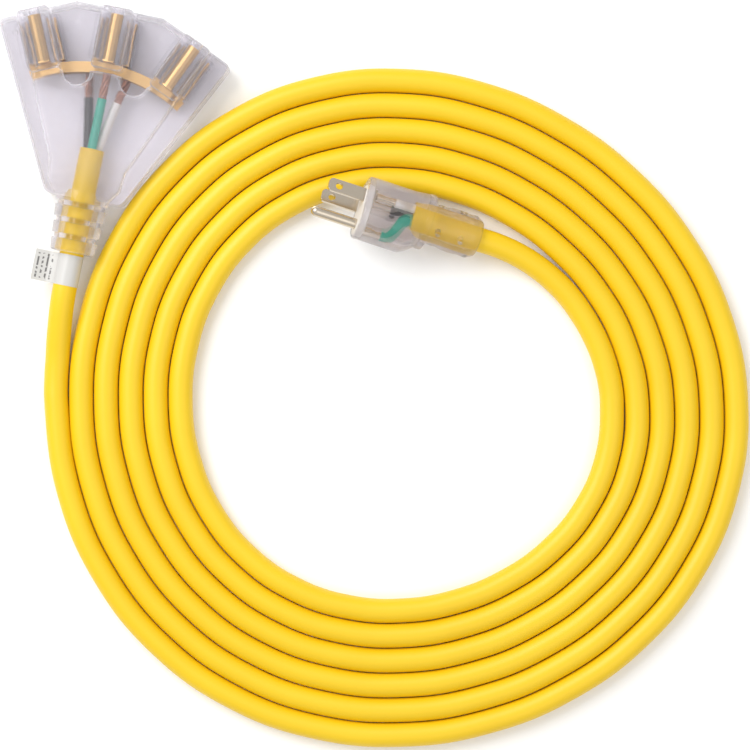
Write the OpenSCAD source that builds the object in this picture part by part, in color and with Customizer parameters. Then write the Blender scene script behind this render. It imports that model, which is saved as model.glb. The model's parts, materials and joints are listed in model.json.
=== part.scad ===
// Heavy-duty grounded extension cord: a fan-shaped triple tap, fifteen feet of
// three-conductor cord laid as a flat spiral, and a moulded plug.
// Millimetres. +Z is up, the outlets of the tap face +Y, and the origin is under
// the middle of the tap, on the surface that it lies on.

/* [Tap body] */
// Half the width of the body at the neck
base_half_w = 17.5; // [16.5:0.5:19]
// Outward lean of each side of the fan, as run over rise
side_slope = 0.5; // [0.48:0.01:0.54]
// Height of the slab that holds the blade contacts
slab_h = 15; // [15:0.5:16]
// Height of the raised panel behind the outlets
panel_h = 22.5; // [20:0.5:23]
// Height of the ridge over each ground contact
ridge_h = 25.4; // [25:0.2:27]
// Width of each ridge
ridge_w = 14.5; // [13.5:0.5:15]
// Thickness of the wall left in front of each pocket
rim_w = 3; // [2:0.5:4]

/* [Tap neck] */
// Length of the strain relief behind the tap
neck_len = 24.8; // [24:0.2:30]
// Radius of the strain relief at the body
neck_r_body = 12.2; // [11.5:0.1:12.2]
// Radius of the strain relief at its end
neck_r_end = 10; // [9:0.25:11]
// Width of the flex slots in the strain relief
flex_slot_w = 2.2; // [1.5:0.1:2.5]
// Distance between the rows of flex slots
flex_slot_pitch = 7.4; // [6:0.2:7.4]

/* [Outlets] */
// Angle between neighbouring outlets
fan_angle = 24; // [23:0.5:25]
// Distance from the point where the outlet axes meet to each outlet face
face_r = 93.4; // [92:0.2:95]
// Distance from that point to the back of the body
fan_drop = 6.5; // [6:0.5:7]
// Height of the middle of the blade slots
slot_z = 8; // [7.8:0.1:8.2]
// Half the distance between the two blade slots
blade_half_gap = 6.35; // [6.3:0.05:6.4]
// Distance from the blade slots up to the ground hole
ground_offset = 11.9; // [11.8:0.1:12]
// Radius of the ground hole in the outlet face
ground_hole_r = 2.75; // [2.7:0.05:2.8]
// Depth of the outlet face wall
face_wall = 3; // [2.5:0.5:3.5]

/* [Contacts] */
// Thickness of the brass strip
strip_t = 0.8; // [0.7:0.1:0.9]
// Radial width of each bus bar
bus_w = 4.8; // [4:0.2:5]
// Inner radius of the ground contact ring
ground_bore_r = 2.5; // [2.45:0.05:2.6]
// Length of the closed ring at the mouth of the ground contact
ground_ring_len = 7.7; // [6:0.1:9]

/* [Cord] */
// Outer diameter of the cord
cord_d = 11; // [10:0.1:11]
// Outer diameter of each insulated wire
wire_d = 4.2; // [3.6:0.1:4.2]
// Diameter of each bundle of copper strands
strand_d = 3; // [2:0.1:3]

/* [Coil] */
// Radius of the cord's centre line where the spiral starts
coil_r0 = 155.8; // [155.5:0.1:156]
// Distance between neighbouring turns
coil_pitch = 11.3; // [11.1:0.05:11.5]

/* [Plug] */
// Downward tilt of the plug towards its cord
plug_pitch = 10.5; // [10:0.5:12]
// Turn of the plug in plan
plug_yaw = -6; // [-8:1:-4]
// Roll of the plug about its own axis
plug_roll = -23; // [-26:1:-20]
// Length of each blade in front of the plug's face
blade_len = 17.5; // [16:0.1:18]
// Length of the ground pin in front of the plug's face
pin_len = 21.2; // [20:0.1:22]
// Radius of the ground pin
pin_r = 2.4; // [2.35:0.01:2.4]
// Length of the plug's head
head_len = 31.8; // [30:0.2:33]
// Length of the whole moulding
plug_len = 56; // [54:0.5:58]

/* [Flag label] */
// Length of the label along the cord
label_len = 14; // [10:1:14]
// How far the flag stands out from the cord
flag_w = 10; // [6:1:14]
// Thickness of the label's film with its clear overwrap
label_t = 0.4; // [0.3:0.1:0.5]

/* [Hidden] */

$fn = 64;
cord_r = cord_d / 2;
wire_r = wire_d / 2;
strand_r = strand_d / 2;
ridge_half_w = ridge_w / 2;
eps = 0.01;

yellow_pvc = [0.95, 0.82, 0.2];
black_pvc = [0.1, 0.1, 0.1];
white_pvc = [0.92, 0.92, 0.9];
green_pvc = [0.1, 0.55, 0.46];
bare_copper = [0.76, 0.52, 0.42];
nickel = [0.74, 0.7, 0.62];

// The tap's own axes: Y is zero where the neck meets the body.
body_front = face_r - fan_drop;
tap_mid = (body_front - neck_len) / 2;
neck_z = 12.3;
slot_lap = 0.3;
corner_y = (face_r - fan_drop * cos(fan_angle) - base_half_w * sin(fan_angle))
  / (side_slope * sin(fan_angle) + cos(fan_angle));
corner_x = base_half_w + side_slope * corner_y;
apex_x = face_r * tan(fan_angle / 2);
body_outline = [
  [-base_half_w, 0], [base_half_w, 0], [corner_x, corner_y],
  [apex_x, body_front], [-apex_x, body_front], [-corner_x, corner_y]
];

// Raised panel, from the neck to the backs of the ridges
ridge_back_r = 65;
panel_waist = [16.5, 6];
panel_hip = [17.6, 15];
panel_side_r = 72;
panel_middle_y = 62;
panel_half = [
  [neck_r_body, 0], panel_waist, panel_hip,
  fan_point(fan_angle, ridge_back_r, ridge_half_w), fan_point(fan_angle, panel_side_r, 0),
  [0, panel_middle_y]
];

// Pocket between two ridges, with a round bottom: its sides run on inside the ridges
pocket_r = 5.95;
pocket_bite = 0.05;
pocket_side = ridge_half_w - 0.5;
pocket_centre_r = (ridge_half_w + pocket_r - pocket_bite) / sin(fan_angle / 2);
pocket_centre = fan_point(fan_angle / 2, pocket_centre_r, 0);
pocket_half = [
  [pocket_side, pocket_centre[1]],
  [pocket_side, body_front - rim_w],
  fan_point(fan_angle / 2, (face_r - rim_w) / cos(fan_angle / 2), 0),
  fan_point(fan_angle, face_r - rim_w, -pocket_side),
  fan_point(fan_angle, pocket_centre[1] + fan_drop, -pocket_side)
];

// Outlet carrier and contacts, measured outwards along an outlet's axis
ground_z = slot_z + ground_offset;
carrier_back_r = 69.4;
carrier_len = face_r - carrier_back_r;
carrier_half_w = 11;
carrier_floor = 2.2;
carrier_step = 13.8;
carrier_top = 24.1;
tower_half_w = 5.2;
blade_slot = [2, 8.2];
contact_cell = [5, 9];
contact_h = 7.6;
contact_len = 19.6;
contact_half_w = 2;
leaf_straight = 5;
leaf_flare = 4;
leaf_pinch = 0.85;
foot_half_w = 1.2;
foot_lap = 1;
ground_cell_r = 2.95;
ground_ring_r = 2.85;
ground_leaf_half_w = 2.2;
ground_tail_half_w = 2.5;

// Bus bars, one above the other behind the carriers
bus_outer_r = carrier_back_r - strip_t;
bus_inner_r = bus_outer_r - bus_w;
line_bus_z = 4.6;
neutral_bus_z = 9.2;
ground_bus_z = 13.2;
contact_angle = atan(blade_half_gap / bus_outer_r);
bus_margin = 2;
ground_bus_margin = 3;

// Wires in the tap: each runs from the jacket's end to its bus bar
jacket_end_y = 22.8;
core_r = 2.5;
stripped_from = 0.67;
wire_angle = 8;
wire_overrun = 3;
strand_lap = 0.1;
line_core = [-core_r * cos(30), jacket_end_y, neck_z - core_r / 2];
neutral_core = [core_r * cos(30), jacket_end_y, neck_z - core_r / 2];
ground_core = [0, jacket_end_y, neck_z + core_r];
line_weld = weld_point(-wire_angle, line_bus_z);
neutral_weld = weld_point(wire_angle, neutral_bus_z);
ground_weld = weld_point(0, ground_bus_z);

// Coil: a flat spiral whose radius swells and shrinks a little, as laid by hand
coil_centre = [160.3, -92.3];
coil_start = 191.5;
coil_end = coil_start + 5.5 * 360;
coil_sectors = 24;
sector_angle = 360 / coil_sectors;
sector_lap = 0.2;
lead_gap = 1.2;

// Plug, with X back along its axis, Z across the blades and the ground pin at -Y
plug_nose = [123.8, -7.2, 20.5];
blade_w = 6.35;
blade_t = 1.5;
blade_hole_r = 1.55;
blade_hole_x = -12.6;
blade_back = 4.6;
crimp_r = 1.9;
crimp_end = 14;
pin_crimp_end = 12;
plug_jacket_x = 23.4;
plug_core_r = 2.7;
plug_ground_core_y = -3.2;
head_low_y = -16.6;
head_high_y = 10.6;
head_half_h = 12;
head_corner_r = 9;
head_straight = 22;
rim_x = 28.4;
rim_r = 12.8;
grip_r_front = 9;
grip_r_back = 9.7;
grip_chamfer = 3;
grip_inset = 2;
rim_step = 1.2;
rim_disc_t = 0.1;
pin_root_len = 7;
pin_root_r = pin_r - 0.4;
bridge_t = 3.6;
bridge_low_y = -16.2;
bridge_high_y = 7.6;
bridge_half_h = 8.8;
bridge_corner_r = 7.5;
relief_hole_r = 1.35;
relief_hole_x = [36.3, 46.9];
relief_hole_turn = 50;
relief_hole_lap = 0.2;

// Free stretches of the cord: from the tap to the coil, and from the coil to the plug
tap_route = [
  [0, -neck_len - tap_mid, neck_z], [0, -64, 12.3], [0, -72, 12.3], [0.2, -80, 11.4],
  [0.7, -88, 9.6], [1.4, -96, 7.8], [2.4, -104, 6.2], [3.4, -112, 5.5], coil_point(coil_start)
];
plug_route = [
  coil_point(coil_end), [250.7, -65.2, 5.5], [247.1, -57.4, 5.5], [242.7, -49.9, 5.5],
  [237.4, -42.8, 5.5], [231.3, -36.1, 5.5], [224.4, -29.8, 5.5], [216.6, -24.4, 5.6],
  [208.1, -19.9, 6], [198.6, -16.3, 6.9], plug_point(plug_len + 10), plug_point(plug_len + eps)
];
tube_sides = 12;
label_gap = 1;

// Point at an angle, a distance out and a distance sideways in the outlet fan
function fan_point(angle, r, side) = [
  r * sin(angle) + side * cos(angle),
  r * cos(angle) - side * sin(angle) - fan_drop
];
function weld_point(angle, z) =
  [each fan_point(angle, bus_inner_r, 0), z + strip_t / 2];
function coil_wobble(a) = 1.8 * cos(a + 163.5) + 2 * cos(2 * (a + 8)) + 1.6 * cos(3 * (a - 3.3));
function coil_radius(a) = coil_r0 - coil_pitch * (a - coil_start) / 360 + coil_wobble(a);
function coil_point(a) = [
  coil_centre[0] + coil_radius(a) * cos(a),
  coil_centre[1] + coil_radius(a) * sin(a),
  cord_r
];
function plug_point(x) = plug_nose + x * [
  cos(plug_pitch) * cos(plug_yaw),
  cos(plug_pitch) * sin(plug_yaw),
  -sin(plug_pitch)
];
function unit(v) = v / norm(v);
function heading(path, i) =
  unit(path[min(i + 1, len(path) - 1)] - path[max(i - 1, 0)]);
function tube_ring(path, i, r) =
  let (along = heading(path, i), side = unit(cross([0, 0, 1], along)), up = cross(along, side))
  [for (k = [0 : tube_sides - 1])
    path[i] + r * (cos(k * 360 / tube_sides) * side + sin(k * 360 / tube_sides) * up)];

// A round tube swept along a path
module swept_tube(path, r) {
  n = tube_sides;
  rings = len(path);
  points = [for (i = [0 : rings - 1]) each tube_ring(path, i, r)];
  walls = [for (i = [0 : rings - 2], k = [0 : n - 1])
    [i * n + k, (i + 1) * n + k, (i + 1) * n + (k + 1) % n, i * n + (k + 1) % n]];
  near_end = [for (k = [0 : n - 1]) k];
  far_end = [for (k = [0 : n - 1]) rings * n - 1 - k];
  polyhedron(points, concat(walls, [near_end, far_end]));
}

// A straight round rod between two points
module rod(a, b, r) {
  d = b - a;
  translate(a)
    rotate([0, acos(d[2] / norm(d)), atan2(d[1], d[0])])
      cylinder(h = norm(d), r = r);
}

// A rectangle with round corners, from its low corner to its high corner
module round_rect(low, high, r) {
  size = high - low;
  translate(low + [r, 0]) square([size[0] - 2 * r, size[1]]);
  translate(low + [0, r]) square([size[0], size[1] - 2 * r]);
  for (x = [low[0] + r, high[0] - r], y = [low[1] + r, high[1] - r])
    translate([x, y]) circle(r);
}

module tap_frame() {
  translate([0, -tap_mid, 0]) children();
}

// Y runs out along the axis of one outlet: side is -1, 0 or 1
module outlet_frame(side) {
  tap_frame() translate([0, -fan_drop, 0]) rotate([0, 0, -side * fan_angle]) children();
}

module plug_frame() {
  translate(plug_nose) rotate([0, 0, plug_yaw]) rotate([0, plug_pitch, 0]) rotate([plug_roll, 0, 0])
    children();
}

// ---- Tap ----

module mirrored_x() {
  children();
  mirror([1, 0, 0]) children();
}

module raised_panel() {
  linear_extrude(panel_h)
    difference() {
      mirrored_x() polygon(concat([[0, 0]], panel_half));
      mirrored_x() {
        polygon(pocket_half);
        translate(pocket_centre) circle(pocket_r);
      }
    }
}

module ridge(side) {
  outlet_frame(side)
    translate([-ridge_half_w, ridge_back_r, 0])
      cube([ridge_w, face_r - ridge_back_r, ridge_h]);
}

module neck() {
  translate([0, eps, neck_z]) rotate([90, 0, 0])
    cylinder(h = neck_len + eps, r1 = neck_r_body, r2 = neck_r_end);
}

// Three rows of four slots, down to the cord
module flex_slots() {
  for (row = [0 : 2], turn = [0 : 90 : 270])
    translate([0, -2 - row * flex_slot_pitch, neck_z]) rotate([90, 0, 0])
      rotate([0, 0, turn - 26]) rotate_extrude(angle = 52)
        translate([cord_r - slot_lap, 0]) square([neck_r_body, flex_slot_w]);
}

// Clearance for one carrier and for the feet of its contacts
module carrier_space(side) {
  outlet_frame(side) {
    carrier_block(1);
    ground_tail();
    contact_foot(0, ground_tail_half_w, ground_bus_z);
    contact_foot(blade_half_gap, foot_half_w, line_bus_z);
    contact_foot(-blade_half_gap, foot_half_w, neutral_bus_z);
  }
}

// Clearance for one wire, from inside the jacket to just inside its bus bar
module wire_space(core, weld) {
  wire_rod(core, weld);
  strand_rod(core, weld, 0, strand_lap);
}

module tap_body() {
  color([0.84, 0.83, 0.88, 0.45])
    difference() {
      union() {
        tap_frame() {
          linear_extrude(slab_h) polygon(body_outline);
          raised_panel();
          neck();
        }
        for (side = [-1 : 1]) ridge(side);
      }
      for (side = [-1 : 1]) carrier_space(side);
      bus_bar(line_bus_z, -1);
      bus_bar(neutral_bus_z, 1);
      bus_bar(ground_bus_z, 0);
      tap_frame() {
        flex_slots();
        rod([0, -neck_len - 1, neck_z], [0, jacket_end_y, neck_z], cord_r);
        wire_space(line_core, line_weld);
        wire_space(neutral_core, neutral_weld);
        wire_space(ground_core, ground_weld);
      }
    }
}

// Outside of a carrier: a wide block for the blades under a tower for the ground pin
module carrier_block(extra) {
  translate([-carrier_half_w, carrier_back_r, carrier_floor])
    cube([2 * carrier_half_w, carrier_len + extra, carrier_step - carrier_floor]);
  translate([-tower_half_w, carrier_back_r, carrier_step - eps])
    cube([2 * tower_half_w, carrier_len + extra, carrier_top - carrier_step + eps]);
}

module outlet_carrier(side) {
  color([0.78, 0.75, 0.8, 0.6])
    outlet_frame(side)
      difference() {
        carrier_block(0);
        for (x = [-blade_half_gap, blade_half_gap]) {
          translate([x - blade_slot[0] / 2, carrier_back_r, slot_z - blade_slot[1] / 2])
            cube([blade_slot[0], carrier_len + 1, blade_slot[1]]);
          translate([x - contact_cell[0] / 2, carrier_back_r - 1, slot_z - contact_cell[1] / 2])
            cube([contact_cell[0], carrier_len - face_wall + 1, contact_cell[1]]);
        }
        translate([0, face_r + 1, ground_z]) rotate([90, 0, 0])
          cylinder(h = carrier_len, r = ground_hole_r);
        translate([0, face_r - face_wall, ground_z]) rotate([90, 0, 0])
          cylinder(h = carrier_len, r = ground_cell_r);
      }
}

// The foot of a contact, which reaches past the outer edge of its bus bar
module contact_foot(x, half_w, z) {
  translate([x - half_w, bus_outer_r - foot_lap, z])
    cube([2 * half_w, foot_lap + strip_t, strip_t]);
}

// The same foot, ending against that edge
module fitted_foot(x, half_w, z) {
  difference() {
    contact_foot(x, half_w, z);
    cylinder(h = panel_h, r = bus_outer_r);
  }
}

// Two sprung leaves with a flared mouth on a back web
module blade_contact(side, x, bus_z) {
  inner = contact_half_w - strip_t;
  flare_y = contact_len - leaf_flare;
  leaf = [
    [contact_half_w, 0], [contact_half_w, leaf_straight], [leaf_pinch + strip_t, flare_y],
    [contact_half_w, contact_len], [inner, contact_len], [leaf_pinch, flare_y],
    [inner, leaf_straight], [inner, 0]
  ];
  color([0.78, 0.66, 0.42])
    outlet_frame(side) {
      translate([x, carrier_back_r, slot_z - contact_h / 2]) {
        linear_extrude(contact_h) mirrored_x() polygon(leaf);
        translate([-contact_half_w, 0, 0]) cube([2 * contact_half_w, strip_t, contact_h]);
      }
      fitted_foot(x, foot_half_w, bus_z);
    }
}

module line_contact(side) {
  blade_contact(side, blade_half_gap, line_bus_z);
}

module neutral_contact(side) {
  blade_contact(side, -blade_half_gap, neutral_bus_z);
}

// The upright plate that stands on a ground contact's foot
module ground_tail() {
  foot_top = ground_bus_z + strip_t;
  translate([-ground_tail_half_w, bus_outer_r, foot_top - eps])
    cube([2 * ground_tail_half_w, strip_t, ground_z + ground_ring_r - foot_top + eps]);
}

// A closed ring at the mouth, then an upper and a lower leaf, on a tail plate
module ground_contact(side) {
  mouth_r = face_r - face_wall;
  leaf_len = mouth_r - carrier_back_r;
  color([0.82, 0.7, 0.5])
    outlet_frame(side) {
      difference() {
        translate([0, mouth_r, ground_z]) rotate([90, 0, 0])
          union() {
            cylinder(h = ground_ring_len, r = ground_ring_r);
            intersection() {
              cylinder(h = leaf_len + eps, r = ground_ring_r);
              translate([-ground_leaf_half_w, -ground_ring_r, 0])
                cube([2 * ground_leaf_half_w, 2 * ground_ring_r, carrier_len]);
            }
          }
        translate([0, mouth_r + 1, ground_z]) rotate([90, 0, 0])
          cylinder(h = leaf_len + 1, r = ground_bore_r);
      }
      ground_tail();
      fitted_foot(0, ground_tail_half_w, ground_bus_z);
    }
}

// A flat strip that curves round behind the carriers: lean shifts it to one side
module bus_bar(z, lean) {
  margin = lean == 0 ? ground_bus_margin : bus_margin;
  first = 90 - fan_angle - margin + lean * contact_angle;
  color([0.84, 0.72, 0.5])
    tap_frame()
      translate([0, -fan_drop, z]) rotate([0, 0, first])
        rotate_extrude(angle = 2 * (fan_angle + margin))
          translate([bus_inner_r, 0]) square([bus_w, strip_t]);
}

module wire_rod(core, weld) {
  rod(core - wire_overrun * unit(weld - core), core + stripped_from * (weld - core), wire_r);
}

// Bare strands from a share of the way along, cut round at the bus bar or a lap inside it
module strand_rod(core, weld, from, lap) {
  intersection() {
    rod(core + from * (weld - core), weld + wire_overrun * unit(weld - core), strand_r);
    translate([0, -fan_drop, 0]) cylinder(h = panel_h, r = bus_inner_r + lap);
  }
}

// The insulated part of a wire, cut flat where it comes out of the jacket
module tap_wire(core, weld) {
  intersection() {
    wire_rod(core, weld);
    translate([-corner_x, jacket_end_y, 0]) cube([2 * corner_x, body_front, panel_h]);
  }
}

module tap_strands(core, weld) {
  strand_rod(core, weld, stripped_from, 0);
}

module tap_line_wire() {
  color(black_pvc) tap_frame() tap_wire(line_core, line_weld);
}

module tap_neutral_wire() {
  color(white_pvc) tap_frame() tap_wire(neutral_core, neutral_weld);
}

module tap_ground_wire() {
  color(green_pvc) tap_frame() tap_wire(ground_core, ground_weld);
}

module tap_line_strands() {
  color(bare_copper) tap_frame() tap_strands(line_core, line_weld);
}

module tap_neutral_strands() {
  color(bare_copper) tap_frame() tap_strands(neutral_core, neutral_weld);
}

module tap_ground_strands() {
  color(bare_copper) tap_frame() tap_strands(ground_core, ground_weld);
}

module tap_cord_end() {
  color(yellow_pvc)
    tap_frame() rod([0, -neck_len, neck_z], [0, jacket_end_y, neck_z], cord_r);
}

// ---- Cord ----

module cord_lead_tap() {
  color(yellow_pvc) swept_tube(tap_route, cord_r);
}

module cord_lead_plug() {
  color(yellow_pvc) swept_tube(plug_route, cord_r);
}

// The outer shape of the whole spiral, sector by sector
module coil_sector(i) {
  middle = coil_start + (i + 0.5) * sector_angle;
  inner_turn = i < coil_sectors / 2 ? 5 : 4;
  beside_tap_lead = i > coil_sectors - 3;
  beside_plug_lead = inner_turn == 4 && i < coil_sectors - 5;
  outer_r = coil_radius(middle) + cord_r - (beside_tap_lead ? lead_gap : 0);
  inner_r = coil_radius(middle + inner_turn * 360) - cord_r + (beside_plug_lead ? lead_gap : 0);
  rotate([0, 0, middle - sector_angle / 2])
    rotate_extrude(angle = sector_angle + (i < coil_sectors - 1 ? sector_lap : 0))
      round_rect([inner_r, 0], [outer_r, cord_d], cord_r - eps);
}

module cord_coil() {
  color(yellow_pvc)
    translate([each coil_centre, 0])
      for (i = [0 : coil_sectors - 1]) coil_sector(i);
}

module flag_label() {
  wrap_r = cord_r + label_t;
  start_y = -neck_len - tap_mid - label_gap;
  color([0.93, 0.92, 0.9])
    translate([0, start_y, neck_z]) rotate([90, 0, 0])
      difference() {
        union() {
          cylinder(h = label_len, r = wrap_r);
          translate([-wrap_r - flag_w, -label_t, 0])
            cube([wrap_r + flag_w, 2 * label_t, label_len]);
        }
        translate([0, 0, -1]) cylinder(h = label_len + 2, r = cord_r);
      }
}

// ---- Plug ----

module across(x) {
  translate([x, 0, 0]) rotate([90, 0, 90]) children();
}

module head_section(x, thickness) {
  across(x) linear_extrude(thickness)
    round_rect([head_low_y, -head_half_h], [head_high_y, head_half_h], head_corner_r);
}

module plug_head() {
  hull() {
    head_section(0, head_straight);
    across(rim_x) cylinder(h = rim_disc_t, r = rim_r - rim_step, $fn = 32);
  }
  across(rim_x) cylinder(h = head_len - rim_x, r = rim_r);
}

module plug_grip() {
  straight = plug_len - grip_chamfer - head_len;
  across(head_len - eps) cylinder(h = straight + 2 * eps, r1 = grip_r_front, r2 = grip_r_back);
  across(plug_len - grip_chamfer)
    cylinder(h = grip_chamfer, r1 = grip_r_back, r2 = grip_r_back - grip_inset);
}

module relief_holes() {
  for (x = relief_hole_x, turn = [relief_hole_turn, relief_hole_turn + 180])
    rotate([turn, 0, 0]) translate([x, 0, cord_r - relief_hole_lap])
      cylinder(h = rim_r, r = relief_hole_r);
}

module bridge_block() {
  across(0) linear_extrude(bridge_t)
    round_rect([bridge_low_y, -bridge_half_h], [bridge_high_y, bridge_half_h], bridge_corner_r);
}

// One blade: side is 1 for neutral and -1 for line
module blade_solid(side) {
  tip_r = 2;
  translate([0, 0, side * blade_half_gap - blade_t / 2])
    difference() {
      linear_extrude(blade_t) {
        translate([tip_r - blade_len, -blade_w / 2])
          square([blade_len + blade_back - tip_r, blade_w]);
        translate([-blade_len, tip_r - blade_w / 2]) square([tip_r + 1, blade_w - 2 * tip_r]);
        for (y = [-1, 1])
          translate([tip_r - blade_len, y * (blade_w / 2 - tip_r)]) circle(tip_r);
      }
      translate([blade_hole_x, 0, -1]) cylinder(h = blade_t + 2, r = blade_hole_r);
    }
}

module pin_solid() {
  translate([0, -ground_offset, 0]) {
    across(-pin_len + pin_r) cylinder(h = pin_len - pin_r, r = pin_r);
    translate([-pin_len + pin_r, 0, 0]) sphere(pin_r);
    across(-eps) cylinder(h = pin_root_len + eps, r = pin_root_r);
  }
}

// Where each wire leaves its crimp, and where it enters the jacket
function blade_wire_start(side) = [crimp_end, 0, side * blade_half_gap];
function blade_wire_end(side) = [plug_jacket_x, plug_core_r / 2, side * plug_core_r * cos(30)];

module blade_crimp(side) {
  rod([blade_back, 0, side * blade_half_gap], blade_wire_start(side), crimp_r);
}

module pin_crimp() {
  rod([pin_root_len, -ground_offset, 0], [pin_crimp_end, -ground_offset, 0], crimp_r);
}

// An insulated wire from its crimp to the jacket, cut flat at both ends
module plug_wire(a, b) {
  along = unit(b - a);
  intersection() {
    rod(a - wire_overrun * along, b + wire_overrun * along, wire_r);
    translate([a[0], -2 * rim_r, -2 * rim_r]) cube([b[0] - a[0], 4 * rim_r, 4 * rim_r]);
  }
}

module blade_wire(side) {
  plug_wire(blade_wire_start(side), blade_wire_end(side));
}

module pin_wire() {
  plug_wire([pin_crimp_end, -ground_offset, 0], [plug_jacket_x, plug_ground_core_y, 0]);
}

module plug_body() {
  color([0.76, 0.72, 0.76, 0.5])
    plug_frame()
      difference() {
        union() {
          plug_head();
          plug_grip();
        }
        translate([-1, 0, 0]) bridge_block();
        bridge_block();
        for (side = [-1, 1]) {
          blade_solid(side);
          blade_crimp(side);
          blade_wire(side);
        }
        pin_solid();
        pin_crimp();
        pin_wire();
        rod([plug_jacket_x, 0, 0], [plug_len + 1, 0, 0], cord_r);
        relief_holes();
      }
}

module plug_bridge() {
  color([0.86, 0.84, 0.83])
    plug_frame()
      difference() {
        bridge_block();
        for (side = [-1, 1]) blade_solid(side);
        pin_solid();
      }
}

module blade(side) {
  color(nickel) plug_frame() blade_solid(side);
}

module ground_pin() {
  color(nickel) plug_frame() pin_solid();
}

module brass_crimp(side) {
  color([0.8, 0.62, 0.5]) plug_frame() blade_crimp(side);
}

module ground_crimp() {
  color([0.8, 0.62, 0.5]) plug_frame() pin_crimp();
}

module plug_cord_end() {
  color(yellow_pvc) plug_frame() rod([plug_jacket_x, 0, 0], [plug_len, 0, 0], cord_r);
}

module plug_line_wire() {
  color(black_pvc) plug_frame() blade_wire(-1);
}

module plug_neutral_wire() {
  color(white_pvc) plug_frame() blade_wire(1);
}

module plug_ground_wire() {
  color(green_pvc) plug_frame() pin_wire();
}

tap_body();
outlet_carrier(-1);  // outlet_carrier_left
outlet_carrier(0);  // outlet_carrier_centre
outlet_carrier(1);  // outlet_carrier_right
line_contact(-1);  // line_contact_left
line_contact(0);  // line_contact_centre
line_contact(1);  // line_contact_right
neutral_contact(-1);  // neutral_contact_left
neutral_contact(0);  // neutral_contact_centre
neutral_contact(1);  // neutral_contact_right
ground_contact(-1);  // ground_contact_left
ground_contact(0);  // ground_contact_centre
ground_contact(1);  // ground_contact_right
bus_bar(line_bus_z, -1);  // line_bus_bar
bus_bar(neutral_bus_z, 1);  // neutral_bus_bar
bus_bar(ground_bus_z, 0);  // ground_bus_bar
tap_line_wire();
tap_neutral_wire();
tap_ground_wire();
tap_line_strands();
tap_neutral_strands();
tap_ground_strands();
tap_cord_end();
cord_lead_tap();
flag_label();
cord_coil();
cord_lead_plug();
plug_cord_end();
plug_body();
plug_bridge();
blade(-1);  // line_blade
blade(1);  // neutral_blade
ground_pin();
brass_crimp(-1);  // line_crimp
brass_crimp(1);  // neutral_crimp
ground_crimp();
plug_line_wire();
plug_neutral_wire();
plug_ground_wire();
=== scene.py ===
import json
import math

import bpy
from mathutils import Matrix, Vector


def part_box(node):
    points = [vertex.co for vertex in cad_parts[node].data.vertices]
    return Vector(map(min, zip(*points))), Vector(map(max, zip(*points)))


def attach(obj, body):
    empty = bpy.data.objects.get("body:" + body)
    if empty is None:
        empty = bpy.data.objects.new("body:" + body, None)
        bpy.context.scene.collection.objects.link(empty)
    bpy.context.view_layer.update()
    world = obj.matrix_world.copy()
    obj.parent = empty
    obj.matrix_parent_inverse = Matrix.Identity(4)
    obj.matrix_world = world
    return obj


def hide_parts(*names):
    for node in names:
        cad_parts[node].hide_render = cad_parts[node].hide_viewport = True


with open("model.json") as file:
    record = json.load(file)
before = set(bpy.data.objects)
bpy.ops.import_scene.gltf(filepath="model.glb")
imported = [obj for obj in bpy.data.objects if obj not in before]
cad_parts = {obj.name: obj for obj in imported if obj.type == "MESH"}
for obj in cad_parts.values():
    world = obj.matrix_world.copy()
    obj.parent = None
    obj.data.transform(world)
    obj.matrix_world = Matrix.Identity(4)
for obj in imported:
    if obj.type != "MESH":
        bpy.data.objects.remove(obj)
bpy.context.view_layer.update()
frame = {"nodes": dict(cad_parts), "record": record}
MM = 0.001

# ---- Sizes in millimetres, in the frame's own axes ----

# The tap: a fan whose three outlets meet in a pole behind the neck
TAP_LOW, TAP_HIGH = [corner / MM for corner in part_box("tap_body")]
FAN_ANGLE = 24
FACE_R = 93.4
POLE_Y = TAP_HIGH.y - FACE_R
NECK_LEN = 24.8
BODY_Y = TAP_LOW.y + NECK_LEN
BASE_HALF_W = 17.5
SIDE_SLOPE = 0.5
SLAB_H = 15
DECK_H = 22.5
RIM_H = 16.4
RIM_W = 3
RIDGE_HALF_W = 7.25
RIDGE_BACK_R = 65
POCKET_R = 5.9
NECK_Z = 12.3
NECK_R = (12.2, 10)
SLOT_ROWS = 3
SLOT_PITCH = 7.4
SLOT_W = 2.2
SLOT_HALF_ANGLE = 35
RING_SIDES = 48
DIMPLES = ((19.3, 47.4, 3.6), (44.4, 36.5, 1.8))
DIMPLE_DEPTH = 0.6

# The outlets, measured out from the pole
CARRIER_BACK_R = 69.4
BLADE_HALF_GAP = 6.35
SLOT_Z = 8
GROUND_Z = 19.9
FACE_WALL = 3
MOUTH_R = FACE_R - FACE_WALL
BLADE_SLOT_HALF = (1, 4.1)
BLADE_CELL_HALF = (2.5, 4.5)
PIN_HOLE_R = 2.75
PIN_HOLE_EASE = 0.4
CARRIER_HALF_W = 10.6
CARRIER_LOW, CARRIER_STEP, CARRIER_TOP = 2.4, 13.6, 23.8
TOWER_HALF_W = 4.9

# The contacts and the strips that join them
STRIP_T = 0.8
SLEEVE_R = 2.85
SLEEVE_TIP_LEN = 7.7
SLEEVE_WALL = 0.32
STEM_R = 2.72
TAIL_HALF_W = 2.5
FLUTES = 12
FLUTE_DEPTH = 0.1
BUS_OUTER_R = CARRIER_BACK_R - STRIP_T
BUS_INNER_R = BUS_OUTER_R - 4.8
LINE_BUS_Z, NEUTRAL_BUS_Z, GROUND_BUS_Z = 4.6, 9.2, 13.2

# The wires in the tap: bare from this share of the way between jacket and weld
WELD_ANGLE = 8
CORE_R = 2.5
STRIPPED_FROM = 0.67
STRAND_R = 0.5

# The cord and its spiral
CORD_R = 5.5
COIL_CENTRE = (160.3, -92.3)
COIL_START = 191.5
COIL_TURNS = 5.5
COIL_R = 155.8
COIL_PITCH = 11.3

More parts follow.
